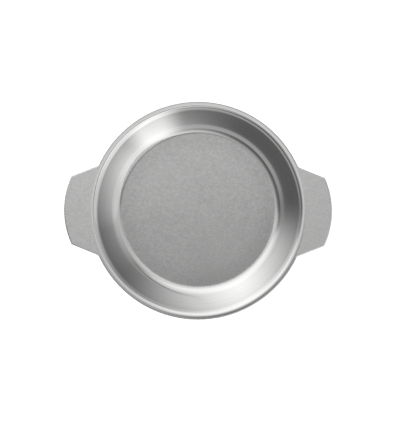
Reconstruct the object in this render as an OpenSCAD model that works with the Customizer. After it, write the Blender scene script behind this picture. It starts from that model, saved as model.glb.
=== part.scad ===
// Round stainless steel plate with two tab handles.
// The dish is pressed from one sheet: flat floor, a wide bend up into a sloping and
// slightly hollow wall, and a rounded rim that ends in a narrow flat flange. Each tab
// is a flat blade of the same sheet, butt-welded into a gap in the flange so that its
// top lies flush with it. The weld bead shows only on the underside.
// Millimetres, +Z up, origin on the table under the middle of the floor.
// The tabs point along +X and -X.

/* [Dish] */
// Outside diameter of the flange
dish_d = 180; // [140:1:260]
// Height of the flange's top above the table
dish_h = 14.6; // [12:0.1:18]
// Width of the side, from the flat floor to the outside edge
side_w = 26.6; // [24.6:0.1:32]
// Thickness of the steel sheet
sheet_t = 1; // [0.7:0.1:1.4]
// Inside radius of the bend between floor and wall
floor_bend_r = 15; // [10:0.5:16]
// Radius of the wall's hollow
wall_r = 105; // [70:5:300]

/* [Rim] */
// Top radius of the bend between wall and flange
rim_bend_r = 6.7; // [4:0.1:7.5]
// Width of the flat flange
rim_land = 2.6; // [2:0.1:4]

/* [Handle tabs] */
// How far each tab stands out from the rim
tab_reach = 20.5; // [14:0.5:32]
// Width of a tab where it leaves the rim circle
tab_w = 67.7; // [50:0.1:76]
// Taper of each side of a tab, in degrees
tab_side_a = 21.5; // [5:0.5:25]
// Radius of the curved outer edge of a tab
tab_end_r = 67.5; // [55:0.5:120]
// Radius of the two outer corners of a tab
tab_corner_r = 2.5; // [1:0.1:5]
// Radius where a tab's side runs into the rim
tab_root_r = 4; // [2:0.1:6]

/* [Welds] */
// Width of the weld bead under each tab
weld_w = 1.4; // [0.8:0.1:1.8]
// Height of the weld bead
weld_h = 0.45; // [0.2:0.05:0.6]

/* [Hidden] */

out_r = dish_d / 2;
floor_r = out_r - side_w;
// The flat flange runs from land_in to the outside edge, and the weld line is in its middle.
land_in = out_r - rim_land;
weld_r = out_r - rim_land / 2;

// Bend centres in the half section, as [radius, height].
floor_c = [floor_r, sheet_t + floor_bend_r];
rim_c = [land_in, dish_h - rim_bend_r];

// The wall's hollow touches the floor bend from outside and the rim bend from below:
// its centre lies wall_r - floor_bend_r from floor_c and wall_r + rim_bend_r from rim_c.
span = rim_c - floor_c;
along = (pow(wall_r - floor_bend_r, 2) - pow(wall_r + rim_bend_r, 2) + span * span) / (2 * norm(span));
above = sqrt(pow(wall_r - floor_bend_r, 2) - along * along);
wall_c = floor_c + (along * span + above * [-span[1], span[0]]) / norm(span);
foot_a = atan2(floor_c[1] - wall_c[1], floor_c[0] - wall_c[0]);
head_a = atan2(rim_c[1] - wall_c[1], rim_c[0] - wall_c[0]);

// Tab outline, worked out for the +X tab.
// The upper side line passes through side_p along side_u, with outward normal side_n.
side_p = [out_r, tab_w / 2];
side_u = [cos(tab_side_a), -sin(tab_side_a)];
side_n = [sin(tab_side_a), cos(tab_side_a)];
end_c = [out_r + tab_reach - tab_end_r, 0];
// Centre of the root fillet: outside the rim circle and outside the side line.
root_c = on_side(tab_root_r, [0, 0], out_r + tab_root_r);
root_a = atan2(root_c[1], root_c[0]);
// Centre of the corner round: inside the end arc and inside the side line.
corner_c = on_side(-tab_corner_r, end_c, tab_end_r - tab_corner_r);
corner_a = atan2(corner_c[1], corner_c[0] - end_c[0]);

// The point at offset d outside the upper side line and at distance r from point c.
function on_side(d, c, r) =
    let (q = side_p + d * side_n - c,
         b = q * side_u)
    c + q + (sqrt(b * b - q * q + r * r) - b) * side_u;

function arc(c, r, a0, a1, n) =
    [for (i = [0:n]) let (a = a0 + (a1 - a0) * i / n) c + r * [cos(a), sin(a)]];

// The same without its two ends.
function arc_between(c, r, a0, a1, n) =
    [for (i = [1:n - 1]) let (a = a0 + (a1 - a0) * i / n) c + r * [cos(a), sin(a)]];

// The same points below the tab's axis, in reverse order, without the one on the axis.
function mirrored(pts) =
    [for (i = [len(pts) - 2:-1:0]) [pts[i][0], -pts[i][1]]];

// Half section of the pressed sheet: along the top outwards, back along the underside.
module sheet_section() {
    polygon(concat(
        [[0, sheet_t]],
        arc(floor_c, floor_bend_r, -90, foot_a, 16),
        arc_between(wall_c, wall_r, foot_a, head_a, 5),
        arc(rim_c, rim_bend_r, head_a + 180, 90, 14),
        [[out_r, dish_h], [out_r, dish_h - sheet_t]],
        arc(rim_c, rim_bend_r - sheet_t, 90, head_a + 180, 14),
        arc_between(wall_c, wall_r + sheet_t, head_a, foot_a, 5),
        arc(floor_c, floor_bend_r + sheet_t, foot_a, -90, 16),
        [[0, 0]]
    ));
}

// Sector that a tab takes out of the flange.
module rim_gap() {
    far = out_r + 6;
    difference() {
        polygon([[0, 0], [far, -far * tan(root_a)], [far, far * tan(root_a)]]);
        circle(r = weld_r, $fn = 240);
    }
}

// Blade outline: root fillets, tapering sides, rounded corners, end arc.
module tab_outline() {
    upper = concat(
        arc(root_c, tab_root_r, 180 + root_a, 270 - tab_side_a, 8),
        arc(corner_c, tab_corner_r, 90 - tab_side_a, corner_a, 8),
        [for (i = [1:12]) let (a = corner_a * (1 - i / 12)) end_c + tab_end_r * [cos(a), sin(a)]]
    );
    difference() {
        polygon(concat([[0, 0]], upper, mirrored(upper)));
        circle(r = weld_r, $fn = 240);
    }
}

module dish() {
    color([0.72, 0.72, 0.72])
    difference() {
        rotate_extrude($fn = 240) sheet_section();
        for (turn = [0, 180])
            rotate([0, 0, turn])
            translate([0, 0, dish_h - 2 * sheet_t])
            linear_extrude(height = 3 * sheet_t) rim_gap();
    }
}

module tab_handle() {
    color([0.66, 0.66, 0.66])
    translate([0, 0, dish_h - sheet_t])
    linear_extrude(height = sheet_t) tab_outline();
}

// Low rounded bead along the tab's root, under the flush joint.
module handle_weld() {
    bead_r = (weld_w * weld_w / 4 + weld_h * weld_h) / (2 * weld_h);
    color([0.6, 0.6, 0.6])
    rotate([0, 0, 1 - root_a])
    rotate_extrude(angle = 2 * root_a - 2, $fn = 240)
    intersection() {
        translate([weld_r, dish_h - sheet_t + bead_r - weld_h]) circle(r = bead_r, $fn = 48);
        translate([weld_r - weld_w, dish_h - sheet_t - 2 * weld_h]) square([2 * weld_w, 2 * weld_h]);
    }
}

dish();
rotate([0, 0, 180]) tab_handle();  // left_tab_handle
tab_handle();  // right_tab_handle
rotate([0, 0, 180]) handle_weld();  // left_handle_weld
handle_weld();  // right_handle_weld
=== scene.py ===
import math

import bpy
from mathutils import Matrix, Vector


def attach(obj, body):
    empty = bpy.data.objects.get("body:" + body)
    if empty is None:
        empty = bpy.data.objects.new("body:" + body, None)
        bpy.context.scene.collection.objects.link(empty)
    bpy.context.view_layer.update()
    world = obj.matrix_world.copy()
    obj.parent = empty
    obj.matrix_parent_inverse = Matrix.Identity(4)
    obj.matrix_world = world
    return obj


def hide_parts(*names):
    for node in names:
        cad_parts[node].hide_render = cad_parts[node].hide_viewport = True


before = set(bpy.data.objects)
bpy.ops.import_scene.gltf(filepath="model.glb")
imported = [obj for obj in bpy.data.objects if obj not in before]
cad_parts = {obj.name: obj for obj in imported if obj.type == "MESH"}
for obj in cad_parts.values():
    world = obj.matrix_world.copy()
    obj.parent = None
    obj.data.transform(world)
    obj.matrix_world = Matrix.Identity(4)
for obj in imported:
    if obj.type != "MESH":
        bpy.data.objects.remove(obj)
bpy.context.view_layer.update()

MM = 0.001

# ---------------------------------------------------------------- dimensions, in millimetres
H = 14.6            # top of the flange above the table
T = 1.0             # sheet
OUT = 90.0          # outside radius of the flange
FLOOR_R = 63.4      # flat floor
R_FLOOR = 15.0      # bend from floor to wall, inside
R_WALL = 105.0      # hollow of the wall
R_RIM = 6.7         # bend from wall to flange, on top
LAND_IN = 87.4      # where the flat flange starts
WELD_R = 88.7       # where the tabs are joined on
CUT = 0.62          # depth of the rounding on the cut edges of the sheet

TAB_REACH = 20.5
TAB_W = 67.7
TAB_SIDE = math.radians(21.5)
TAB_END_R = 67.5
TAB_CORNER_R = 2.5
TAB_ROOT_R = 4.0

# Section: the wall's hollow touches both bends.
floor_c = Vector((FLOOR_R, T + R_FLOOR))
rim_c = Vector((LAND_IN, H - R_RIM))
span = rim_c - floor_c
along = ((R_WALL - R_FLOOR) ** 2 - (R_WALL + R_RIM) ** 2 + span.length_squared) / (2 * span.length)
above = math.sqrt((R_WALL - R_FLOOR) ** 2 - along ** 2)
wall_c = floor_c + (along * span + above * Vector((-span.y, span.x))) / span.length
FOOT_A = math.atan2(floor_c.y - wall_c.y, floor_c.x - wall_c.x)
HEAD_A = math.atan2(rim_c.y - wall_c.y, rim_c.x - wall_c.x)


def arc(c, r, a0, a1, n):
    return [(c[0] + r * math.cos(a0 + (a1 - a0) * i / n), c[1] + r * math.sin(a0 + (a1 - a0) * i / n)) for i in range(n + 1)]


# ---------------------------------------------------------------- outline of a tab
side_p = Vector((OUT, TAB_W / 2))
side_u = Vector((math.cos(TAB_SIDE), -math.sin(TAB_SIDE)))
side_n = Vector((math.sin(TAB_SIDE), math.cos(TAB_SIDE)))
end_c = Vector((OUT + TAB_REACH - TAB_END_R, 0.0))


def on_side(d, c, r):
    q = side_p + d * side_n - c
    b = q.dot(side_u)
    return c + q + (math.sqrt(b * b - q.dot(q) + r * r) - b) * side_u


root_c = on_side(TAB_ROOT_R, Vector((0.0, 0.0)), OUT + TAB_ROOT_R)
ROOT_A = math.atan2(root_c.y, root_c.x)
corner_c = on_side(-TAB_CORNER_R, end_c, TAB_END_R - TAB_CORNER_R)
CORNER_A = math.atan2(corner_c.y, corner_c.x - end_c.x)


def tab_outline(inset):
    """Points of the tab's free edge, moved inwards by inset, from the root on the +Y side round to the -Y side."""
    pts = arc(root_c, TAB_ROOT_R + inset, math.pi + ROOT_A, 1.5 * math.pi - TAB_SIDE, 14)
    a = Vector(pts[-1])
    b = corner_c + (TAB_CORNER_R - inset) * side_n
    pts += [tuple(a.lerp(b, i / 10)) for i in range(1, 10)]
    pts += arc(corner_c, TAB_CORNER_R - inset, math.pi / 2 - TAB_SIDE, CORNER_A, 10)
    pts += arc(end_c, TAB_END_R - inset, CORNER_A, 0.0, 26)[1:]
    return pts + [(x, -y) for x, y in reversed(pts[:-1])]


# ---------------------------------------------------------------- mesh helpers
class Build:
    def __init__(self):
        self.v, self.f = [], []

    def vert(self, x, y, z):
        self.v.append((x * MM, y * MM, z * MM))
        return len(self.v) - 1

    def face(self, idx):
        self.f.append(tuple(idx))

    def strip(self, a, b):
        for i in range(len(a) - 1):
            self.face((a[i], a[i + 1], b[i + 1], b[i]))

    def piece(self, name, material, sharp=35):
        me = bpy.data.meshes.new(name)
        me.from_pydata(self.v, [], self.f)
        me.materials.append(material)
        me.polygons.foreach_set("use_smooth", [True] * len(me.polygons))
        me.validate()
        me.update()
        me.set_sharp_from_angle(angle=math.radians(sharp))
        ob = bpy.data.objects.new(name, me)
        bpy.context.scene.collection.objects.link(ob)
        return ob


# ---------------------------------------------------------------- materials
def new_material(name):
    m = bpy.data.materials.new(name)
    m.use_nodes = True
    nt = m.node_tree
    return m, nt, nt.nodes["Principled BSDF"]


def node(nt, kind, **props):
    n = nt.nodes.new(kind)
    for k, v in props.items():
        setattr(n, k, v)
    return n


def math_node(nt, op, a, b=None):
    n = node(nt, "ShaderNodeMath", operation=op)
    for i, v in enumerate((a, b)):
        if v is None:
            continue
        if isinstance(v, (int, float)):
            n.inputs[i].default_value = v
        else:
            nt.links.new(v, n.inputs[i])
    return n.outputs[0]


def noise(nt, src, scale, detail=2.0, rough=0.5):
    tx = node(nt, "ShaderNodeTexNoise")
    tx.inputs["Scale"].default_value = scale
    tx.inputs["Detail"].default_value = detail
    tx.inputs["Roughness"].default_value = rough
    nt.links.new(src, tx.inputs["Vector"])
    return tx.outputs["Fac"]


def remap(nt, src, a, b, lo, hi, kind="LINEAR"):
    r = node(nt, "ShaderNodeMapRange", interpolation_type=kind)
    r.inputs["From Min"].default_value = a
    r.inputs["From Max"].default_value = b
    r.inputs["To Min"].default_value = lo
    r.inputs["To Max"].default_value = hi
    nt.links.new(src, r.inputs["Value"])
    return r.outputs["Result"]


def mix(nt, fac, a, b):
    """a where fac is 0, b where fac is 1"""
    n = node(nt, "ShaderNodeMix", data_type="FLOAT")
    nt.links.new(fac, n.inputs[0])
    nt.links.new(a, n.inputs[2])
    nt.links.new(b, n.inputs[3])
    return n.outputs[0]


def grey(nt, src):
    c = node(nt, "ShaderNodeCombineColor")
    for ch in ("Red", "Green"):
        nt.links.new(src, c.inputs[ch])
    nt.links.new(math_node(nt, "MULTIPLY", src, 0.994), c.inputs["Blue"])
    return c.outputs["Color"]


def steel(name, matte_rough, matte_tone, spread, shine_rough, shine_tone, edge0, edge1, matte_inside, turned_floor_and_painted_shade=False, cut_edge=None):
    """Sheet steel with a matte, finely grained zone and a polished one; the border runs round the plate's axis
    between the radii edge0 and edge1, in metres. A turned floor is finished in circles; its tone is painted
    lighter in the middle and darker towards its border, as painted shade next to the wall, and at the back on the
    left its darker matte finish is carried a little way up the bend, as painted shade that dims the bend there.
    Outside the radius cut_edge lies the cut edge of the sheet, which isn't polished; its dark tone is partly the
    rough cut steel and partly painted shade, and the flat flange before it is painted a little darker than the
    wall, as painted shade."""
    m, nt, p = new_material(name)
    p.inputs["Metallic"].default_value = 1.0
    co = node(nt, "ShaderNodeTexCoord").outputs["Object"]
    flat = node(nt, "ShaderNodeVectorMath", operation="MULTIPLY")
    flat.inputs[1].default_value = (1, 1, 0)
    nt.links.new(co, flat.inputs[0])
    ln = node(nt, "ShaderNodeVectorMath", operation="LENGTH")
    nt.links.new(flat.outputs["Vector"], ln.inputs[0])
    r = ln.outputs["Value"]
    sp = node(nt, "ShaderNodeSeparateXYZ")
    nt.links.new(co, sp.inputs[0])
    ring = node(nt, "ShaderNodeCombineXYZ")
    nt.links.new(r, ring.inputs["X"])
    nt.links.new(sp.outputs["Z"], ring.inputs["Y"])
    wander = noise(nt, co, 900, 2.0)
    edge_r = math_node(nt, "ADD", r, remap(nt, wander, 0.3, 0.7, -0.0003, 0.0003))
    # painted shade: at the back on the left the darker matte finish is carried up the bend, dimming the bend's
    # reflection there
    if turned_floor_and_painted_shade:
        way = node(nt, "ShaderNodeVectorMath", operation="NORMALIZE")
        nt.links.new(flat.outputs["Vector"], way.inputs[0])
        painted_shade_side = node(nt, "ShaderNodeVectorMath", operation="DOT_PRODUCT")
        painted_shade_side.inputs[1].default_value = (math.cos(math.radians(142)), math.sin(math.radians(142)), 0)
        nt.links.new(way.outputs["Vector"], painted_shade_side.inputs[0])
        edge_r = math_node(nt, "SUBTRACT", edge_r, remap(nt, painted_shade_side.outputs["Value"], 0.77, 1.0, 0.0, 0.0028))
    shine = remap(nt, edge_r, edge0, edge1, *((0.0, 1.0) if matte_inside else (1.0, 0.0)), "SMOOTHSTEP")

    turned = node(nt, "ShaderNodeMapping")
    turned.inputs["Rotation"].default_value = (0, 0, math.radians(-45))
    turned.inputs["Scale"].default_value = (0.8, 1.0, 1.0)
    nt.links.new(co, turned.inputs["Vector"])
    grain = noise(nt, turned.outputs[0], 520, 2.0, 0.6)
    fine = noise(nt, turned.outputs[0], 2200, 3.0, 0.6)
    lines = noise(nt, ring.outputs[0], 1100, 3.0, 0.6)
    speckle = math_node(nt, "ADD", math_node(nt, "MULTIPLY", grain, 0.8), math_node(nt, "MULTIPLY", fine, 0.2))
    matte = remap(nt, speckle, 0.3, 0.7, matte_tone * (1 - spread), matte_tone * (1 + spread))
    if turned_floor_and_painted_shade:
        # painted shade: the floor's tone is lifted in the middle and darkened towards the wall
        matte = math_node(nt, "MULTIPLY", matte, remap(nt, r, 0.046, 0.062, 1.035, 0.94, "SMOOTHSTEP"))
        nt.links.new(remap(nt, shine, 0.0, 1.0, 0.65, 0.0), p.inputs["Anisotropic"])
        p.inputs["Anisotropic Rotation"].default_value = 0.25
        nt.links.new(node(nt, "ShaderNodeTangent", direction_type="RADIAL", axis="Z").outputs["Tangent"], p.inputs["Tangent"])
    tone = mix(nt, shine, matte, remap(nt, lines, 0.3, 0.7, shine_tone * 0.93, shine_tone * 1.07))
    rough = mix(nt, shine, remap(nt, speckle, 0.3, 0.7, matte_rough + 0.012, matte_rough - 0.012), remap(nt, lines, 0.3, 0.7, shine_rough - 0.01, shine_rough + 0.01))
    if cut_edge:
        # painted shade: the flat flange is painted a little darker than the wall
        tone = math_node(nt, "MULTIPLY", tone, remap(nt, r, cut_edge - 0.0020, cut_edge - 0.0012, 1.0, 0.86, "SMOOTHSTEP"))
        # the cut edge is painted dark: partly rough, unpolished cut steel, partly painted shade standing in for the
        # dark surroundings it reflects
        cut = remap(nt, r, cut_edge - 0.0001, cut_edge + 0.0001, 0.0, 1.0, "SMOOTHSTEP")
        tone = mix(nt, cut, tone, remap(nt, fine, 0.3, 0.7, 0.33, 0.40))
        rough = mix(nt, cut, rough, remap(nt, fine, 0.3, 0.7, 0.46, 0.40))
    nt.links.new(grey(nt, tone), p.inputs["Base Color"])
    nt.links.new(rough, p.inputs["Roughness"])
    bump = node(nt, "ShaderNodeBump")
    bump.inputs["Distance"].default_value = 0.00002
    nt.links.new(remap(nt, shine, 0.0, 1.0, 0.15, 0.0), bump.inputs["Strength"])
    nt.links.new(fine, bump.inputs["Height"])
    nt.links.new(bump.outputs["Normal"], p.inputs["Normal"])
    return m


dish_steel = steel("dish_steel", 0.15, 0.457, 0.10, 0.107, 0.68, 0.0639, 0.0648, True, True, 0.0894)
tab_steel = steel("tab_steel", 0.23, 0.591, 0.08, 0.107, 0.585, 0.0880, 0.0896, False)
weld_steel = steel("weld_steel", 0.38, 0.45, 0.08, 0.30, 0.50, 0.2, 0.21, True)

# ---------------------------------------------------------------- dish
# Columns of the lathe: the tab sectors take the tab's own columns, so that the seam is closed.
inner_edge = tab_outline(CUT)
tab_angles = [math.atan2(y, x) for x, y in inner_edge]          # from +ROOT_A down to -ROOT_A
N_FREE = 170                                                     # steps of the flange from one tab to the other
angles = []
for turn in (0.0, math.pi):
    angles += [turn + a for a in reversed(tab_angles)]
    angles += [turn + ROOT_A + (math.pi - 2 * ROOT_A) * i / N_FREE for i in range(1, N_FREE)]
NC = len(angles)
cs = [(math.cos(a), math.sin(a)) for a in angles]

floor_rings = [3.0, 12.0, 22.0, 32.0, 41.0, 49.0, 56.0, 60.0, 62.4]


def sheet_line(off):
    """Section line from the middle to the weld line; off is 0 on top and T on the underside."""
    line = [(r, T - off) for r in floor_rings]
    line += arc(floor_c, R_FLOOR + off, -math.pi / 2, FOOT_A, 26)
    line += arc(wall_c, R_WALL + off, FOOT_A, HEAD_A, 10)[1:-1]
    line += arc(rim_c, R_RIM - off, HEAD_A + math.pi, math.pi / 2, 26)
    return line + [(LAND_IN + 0.25, H - off), (WELD_R, H - off)]


upper, lower = sheet_line(0.0), sheet_line(T)
rim_end = [(WELD_R + 0.4, H), (OUT - CUT, H)]
rim_end += [(OUT - CUT + CUT * math.sin(math.pi * i / 10), H - T / 2 + T / 2 * math.cos(math.pi * i / 10)) for i in range(1, 10)]
rim_end += [(OUT - CUT, H - T), (WELD_R + 0.4, H - T)]

g = Build()
top_mid, low_mid = g.vert(0, 0, T), g.vert(0, 0, 0)
U = [[g.vert(r * c, r * s, z) for c, s in cs] for r, z in upper]
L = [[g.vert(r * c, r * s, z) for c, s in cs] for r, z in lower]
for j in range(NC):
    k = (j + 1) % NC
    g.face((top_mid, U[0][j], U[0][k]))
    g.face((low_mid, L[0][k], L[0][j]))
    for i in range(len(upper) - 1):
        g.face((U[i][j], U[i + 1][j], U[i + 1][k], U[i][k]))
        g.face((L[i][j], L[i][k], L[i + 1][k], L[i + 1][j]))
ue, le = U[-1], L[-1]
n_tab = len(tab_angles)
for half in (0, 1):
    first = half * (n_tab + N_FREE - 1)
    for j in range(first, first + n_tab - 1):                    # butt face at the tab
        g.face((ue[j], le[j], le[j + 1], ue[j + 1]))
    rows = []
    for q in range(N_FREE + 1):
        j = (first + n_tab - 1 + q) % NC
        rows.append([ue[j]] + [g.vert(r * cs[j][0], r * cs[j][1], z) for r, z in rim_end] + [le[j]])
    for q in range(N_FREE):
        a, b = rows[q], rows[q + 1]
        for i in range(len(a) - 1):
            g.face((a[i], a[i + 1], b[i + 1], b[i]))
    g.face(rows[0])
    g.face(reversed(rows[-1]))
dish = g.piece("dish_shell", dish_steel)
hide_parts("dish")
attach(dish, "root")

# ---------------------------------------------------------------- tabs
M_TAB = 22


def make_tab(name, cad_node, turn):
    b = Build()
    c0, s0 = math.cos(turn), math.sin(turn)

    def put(x, y, z):
        return b.vert(c0 * x - s0 * y, s0 * x + c0 * y, z)

    n = len(inner_edge)
    rows_t, rows_b = [], []
    for j in range(M_TAB + 1):
        u = (j / M_TAB) ** 1.25
        rt, rb = [], []
        for i in range(n):
            ax, ay = WELD_R * math.cos(tab_angles[i]), WELD_R * math.sin(tab_angles[i])
            x, y = ax + (inner_edge[i][0] - ax) * u, ay + (inner_edge[i][1] - ay) * u
            rt.append(put(x, y, H))
            rb.append(put(x, y, H - T))
        rows_t.append(rt)
        rows_b.append(rb)
    edge = []
    for q in range(1, 10):
        ang = math.pi / 2 - math.pi * q / 10
        edge.append([put(x, y, H - T / 2 + T / 2 * math.sin(ang)) for x, y in tab_outline(CUT * (1 - math.cos(ang)))])
    for j in range(M_TAB):
        b.strip(rows_t[j + 1], rows_t[j])
        b.strip(rows_b[j], rows_b[j + 1])
    ring = [rows_t[-1]] + edge + [rows_b[-1]]
    for j in range(len(ring) - 1):
        b.strip(ring[j + 1], ring[j])
    b.strip(rows_t[0], rows_b[0])
    for i, flip in ((0, False), (n - 1, True)):
        loop = [r[i] for r in rows_t] + [r[i] for r in edge] + [r[i] for r in reversed(rows_b)]
        b.face(loop if flip else reversed(loop))
    ob = b.piece(name, tab_steel)
    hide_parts(cad_node)
    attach(ob, "root")
    return ob


right_tab = make_tab("right_tab_blade", "right_tab_handle", 0.0)
left_tab = make_tab("left_tab_blade", "left_tab_handle", math.pi)

# ---------------------------------------------------------------- weld beads, with their ripples
WELD_W, WELD_H = 1.4, 0.45


def make_weld(name, cad_node, turn):
    b = Build()
    half = ROOT_A - math.radians(1)
    n, m = 520, 10
    pitch = 1.15
    rows = []
    for i in range(n + 1):
        a = -half + 2 * half * i / n
        s = WELD_R * (a + half)
        ends = min(1.0, min(s, WELD_R * 2 * half - s) / 0.9)
        taper = max(0.08, math.sqrt(max(0.0, 1 - (1 - ends) ** 2)))
        row = []
        for k in range(m + 1):
            w = -1 + 2 * k / m
            phase = (s / pitch + 0.45 * w * w) % 1.0
            ripple = 0.82 + 0.18 * (1 - phase) ** 1.5 * min(1.0, phase * 6)
            z = H - T - WELD_H * taper * (1 - w * w) * ripple
            r = WELD_R + w * WELD_W / 2 * (0.35 + 0.65 * taper)
            row.append(b.vert(r * math.cos(a + turn), r * math.sin(a + turn), z))
        rows.append(row)
    for i in range(n):
        b.strip(rows[i + 1], rows[i])
        b.face((rows[i][0], rows[i][m], rows[i + 1][m], rows[i + 1][0]))
    b.face(rows[0])
    b.face(reversed(rows[-1]))
    ob = b.piece(name, weld_steel, 60)
    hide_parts(cad_node)
    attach(ob, "root")
    return ob


right_weld = make_weld("right_weld_bead", "right_handle_weld", 0.0)
left_weld = make_weld("left_weld_bead", "left_handle_weld", math.pi)

# ---------------------------------------------------------------- floor
# Plain white; it is lifted a little where it is looked at directly, as a lit studio table is.
fm, nt, p = new_material("pale_floor")
p.inputs["Base Color"].default_value = (0.8, 0.8, 0.8, 1)
p.inputs["Roughness"].default_value = 1.0
p.inputs["Specular IOR Level"].default_value = 0.0
p.inputs["Emission Color"].default_value = (1, 1, 1, 1)
nt.links.new(math_node(nt, "MULTIPLY", node(nt, "ShaderNodeLightPath").outputs["Is Camera Ray"], 0.75), p.inputs["Emission Strength"])
me = bpy.data.meshes.new("studio_floor")
me.from_pydata([(4 * math.cos(math.pi * i / 48), 4 * math.sin(math.pi * i / 48), -0.00002) for i in range(96)], [], [tuple(range(96))])
me.materials.append(fm)
studio = bpy.data.objects.new("studio_floor", me)
bpy.context.scene.collection.objects.link(studio)

# ---------------------------------------------------------------- camera
W_PX, H_PX = 400, 428
PX = 0.825 * MM                  # one pixel at the height of the flange
DIST = 1.38
TILT = math.radians(3.85)
ROLL = math.radians(0.45)
centre_px = (198.04, 211.25)      # where the middle of the flange lies in the frame
look = Vector(((W_PX / 2 - centre_px[0]) * PX, -(H_PX / 2 - centre_px[1]) * PX / math.cos(TILT), H * MM))
back = Vector((0, math.sin(TILT), math.cos(TILT)))
right = Vector((math.cos(ROLL), 0, 0)) + math.sin(ROLL) * Vector((0, math.cos(TILT), -math.sin(TILT)))
up = back.cross(right)
cam_data = bpy.data.cameras.new("camera")
cam = bpy.data.objects.new("camera", cam_data)
bpy.context.scene.collection.objects.link(cam)
cam.matrix_world = Matrix.Translation(look + DIST * back) @ Matrix((right, up, back)).transposed().to_4x4()
cam_data.sensor_width = 36.0
cam_data.lens = 36.0 * DIST / (H_PX * PX)
cam_data.clip_start, cam_data.clip_end = 0.05, 20
bpy.context.scene.camera = cam

# ---------------------------------------------------------------- light
# Soft-edged panels round the plate, added up. Angles are in degrees; turns run clockwise from +X as seen from above.
#   turn: middle, outer and full width before it, full and outer width after it
#   edge: direction, start and full, as sine of the angle from the zenith: a panel with a straight edge
#   bar: direction, tangent of the angle from the zenith, full and outer half width: a straight bar
#   rise, fall: start and end of the ramps, from the zenith down
AMBIENT = 0.135
PANELS = [
    # large panel, high at the back on the left, and its glow down to the horizon
    dict(level=0.40, turn=(235, 51, 44, 54, 119), edge=(244, 0.10, 0.215), fall=(28, 59)),
    dict(level=0.68, turn=(273, 105, 62, -5, 52), rise=(9, 33), fall=(68, 108)),
    dict(level=0.56, turn=(222, 20, -18, 14, 61), rise=(10, 53), fall=(105, 113)),
    # panel at the front on the right, with a brighter part
    dict(level=1.20, turn=(65, 78, 17, -51, 57), edge=(72, 0.147, 0.222), fall=(55, 115)),
    dict(level=0.68, turn=(61, 63, -4, 6, 22), edge=(135, -0.015, 0.217), fall=(90, 98)),
    dict(level=0.22, turn=(91, 20, 4, 3, 24), rise=(9, 16), fall=(20, 33)),
    # paler parts of the room, one of them with a dark bar across it
    dict(level=0.32, turn=(130, 66, 14, 12, 69), rise=(34, 41), fall=(53, 75)),
    dict(level=0.62, turn=(340, 63, -47, 17, 45), rise=(8, 37), fall=(38, 98)),
    dict(level=-0.40, turn=(298, 43, -10, 10, 34), bar=(340, 0.75, 0.03, 0.072), fall=(80, 85)),
    # overhead, with a dark gap in front of it
    dict(level=0.50, edge=(187, -0.34, -0.18), fall=(2, 30)),
    dict(level=0.34, edge=(273, -0.10, -0.05), fall=(19, 34)),
    dict(level=-0.45, turn=(53, 107, 47, 37, 44), rise=(3.5, 8.5), fall=(9.5, 14.3)),
    # glow from below, for the underside; the floor hides it
    dict(level=0.55, rise=(95, 125), fall=(179, 180)),
]

world = bpy.data.worlds.new("studio")
bpy.context.scene.world = world
world.use_nodes = True
nt = world.node_tree
sky = node(nt, "ShaderNodeTexCoord").outputs["Generated"]
sp = node(nt, "ShaderNodeSeparateXYZ")
nt.links.new(sky, sp.inputs[0])
azimuth = math_node(nt, "MULTIPLY", math_node(nt, "ARCTAN2", sp.outputs["Y"], sp.outputs["X"]), -180 / math.pi)
polar = math_node(nt, "MULTIPLY", math_node(nt, "ARCCOSINE", sp.outputs["Z"]), 180 / math.pi)
total = AMBIENT
for panel in PANELS:
    light = remap(nt, polar, *panel["fall"], panel["level"], 0.0, "SMOOTHSTEP")
    ramps = []
    if "rise" in panel:
        ramps.append(remap(nt, polar, *panel["rise"], 0.0, 1.0, "SMOOTHSTEP"))
    if "edge" in panel:
        way, e0, e1 = panel["edge"]
        side = node(nt, "ShaderNodeVectorMath", operation="DOT_PRODUCT")
        side.inputs[1].default_value = (math.cos(math.radians(way)), -math.sin(math.radians(way)), 0)
        nt.links.new(sky, side.inputs[0])
        ramps.append(remap(nt, side.outputs["Value"], e0, e1, 0.0, 1.0, "SMOOTHSTEP"))
    if "bar" in panel:
        way, steep, full, outer = panel["bar"]
        k = 1 / math.hypot(1, steep)
        side = node(nt, "ShaderNodeVectorMath", operation="DOT_PRODUCT")
        side.inputs[1].default_value = (k * math.cos(math.radians(way)), -k * math.sin(math.radians(way)), -k * steep)
        nt.links.new(sky, side.inputs[0])
        ramps.append(remap(nt, math_node(nt, "ABSOLUTE", side.outputs["Value"]), full, outer, 1.0, 0.0, "SMOOTHSTEP"))
    if "turn" in panel:
        mid, l_out, l_full, r_full, r_out = panel["turn"]
        off = node(nt, "ShaderNodeMath", operation="WRAP")
        nt.links.new(math_node(nt, "SUBTRACT", azimuth, mid), off.inputs[0])
        off.inputs[1].default_value = 180
        off.inputs[2].default_value = -180
        ramps.append(remap(nt, off.outputs[0], -l_out, -l_full, 0.0, 1.0, "SMOOTHSTEP"))
        ramps.append(remap(nt, off.outputs[0], r_full, r_out, 1.0, 0.0, "SMOOTHSTEP"))
    for q in ramps:
        light = math_node(nt, "MULTIPLY", light, q)
    total = math_node(nt, "ADD", light, total)
total = math_node(nt, "MAXIMUM", total, 0.02)
lp = node(nt, "ShaderNodeLightPath")
bg = nt.nodes["Background"]
bg.inputs["Color"].default_value = (1, 1, 1, 1)
seen = node(nt, "ShaderNodeMix", data_type="FLOAT")
nt.links.new(lp.outputs["Is Camera Ray"], seen.inputs[0])
nt.links.new(total, seen.inputs[2])
seen.inputs[3].default_value = 0.92
nt.links.new(seen.outputs[0], bg.inputs["Strength"])

scene = bpy.context.scene
scene.cycles.use_denoising = False      # keeps the fine grain of the steel
scene.view_settings.view_transform = "Standard"
scene.view_settings.look = "None"
scene.view_settings.exposure = 0.0
scene.view_settings.gamma = 1.0
